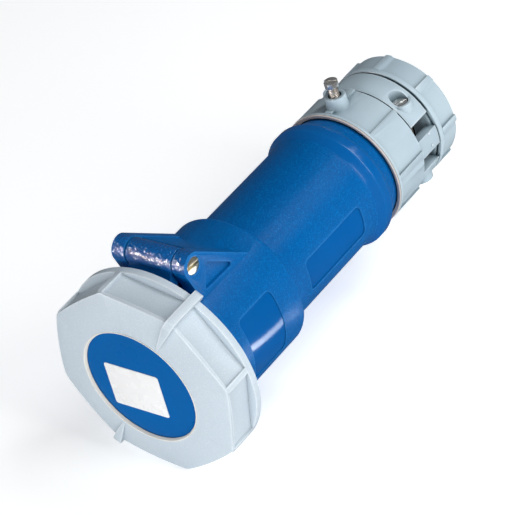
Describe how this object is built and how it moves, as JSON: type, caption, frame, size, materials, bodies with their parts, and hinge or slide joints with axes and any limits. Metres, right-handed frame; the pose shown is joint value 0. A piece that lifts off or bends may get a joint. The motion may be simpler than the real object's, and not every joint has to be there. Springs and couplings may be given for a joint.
{
  "type": "industrial cable coupler",
  "caption": "Watertight industrial cable coupler: round sleeve with hinged lid, bayonet ring, contact insert, cable clamp and ribbed gland nut.",
  "frame": {"origin": "centre of the housing's mouth, on the axis", "axes": "+Y from the mouth to the cable end, +Z towards the hinge, +X towards the slotted head of the hinge pin"},
  "size_m": [0.1116, 0.2451, 0.1178],
  "materials": {
    "blue_plastic": "finely grained moulded plastic",
    "light_grey_plastic": "satin moulded plastic",
    "gland_grey_plastic": "satin moulded plastic",
    "black_plastic": "moulded plastic",
    "black_rubber": "soft rubber",
    "brass": "turned",
    "steel": "plated, worn at the slots",
    "label_film": "white film, bare"
  },
  "bodies": {
    "coupler": {"housing": "blue_plastic", "hinge_pin": "brass", "contact_insert": "black_plastic", "plug_seal": "black_rubber", "line_contact": "brass", "neutral_contact": "brass", "earth_contact": "brass", "pilot_contact": "brass", "line_terminal_screws": "steel", "neutral_terminal_screws": "steel", "earth_terminal_screws": "steel", "pilot_terminal_screw": "steel", "insert_screws": "steel", "gland_seal": "black_rubber", "gland_body": "gland_grey_plastic", "lock_screw": "steel", "cable_seal": "black_rubber"},
    "lid": {"lid": "blue_plastic", "rating_label": "label_film", "lid_seal": "black_rubber", "lid_spring": "steel"},
    "ring": {"bayonet_ring": "light_grey_plastic"},
    "upper_clamp": {"upper_saddle": "gland_grey_plastic", "near_clamp_screw": "steel", "far_clamp_screw": "steel"},
    "lower_clamp": {"lower_saddle": "gland_grey_plastic", "near_clamp_nut": "steel", "far_clamp_nut": "steel"},
    "thrust": {"thrust_ring": "black_plastic"},
    "nut": {"end_nut": "gland_grey_plastic"}
  },
  "joints": [
    {"name": "lid_hinge", "type": "hinge", "parent": "coupler", "child": "lid", "pos_m": [0, 0.027, 0.055], "axis": [-1, 0, 0], "range_deg": [0, 120], "stiffness_Nm_per_rad": 0.06, "springref_deg": -143.24},
    {"name": "ring_lock", "type": "hinge", "parent": "lid", "child": "ring", "pos_m": [0, 0, 0], "axis": [0, 1, 0], "range_deg": [0, 40]},
    {"name": "nut_feed", "type": "slide", "parent": "coupler", "child": "thrust", "axis": [0, 1, 0], "range_m": [0, 0.003]},
    {"name": "nut_turn", "type": "hinge", "parent": "thrust", "child": "nut", "pos_m": [0, 0.226, 0], "axis": [0, 1, 0], "range_deg": [0, 360]},
    {"name": "clamp_close", "type": "slide", "parent": "coupler", "child": "upper_clamp", "axis": [0.061, 0, -0.9981], "range_m": [0, 0.005]},
    {"name": "clamp_follow", "type": "slide", "parent": "coupler", "child": "lower_clamp", "axis": [-0.061, 0, 0.9981], "range_m": [0, 0.005]}
  ],
  "couplings": [
    {"joint": "nut_feed", "follows": "nut_turn", "m_per_rad": 0.00047746},
    {"joint": "clamp_follow", "follows": "clamp_close", "ratio": 1}
  ]
}
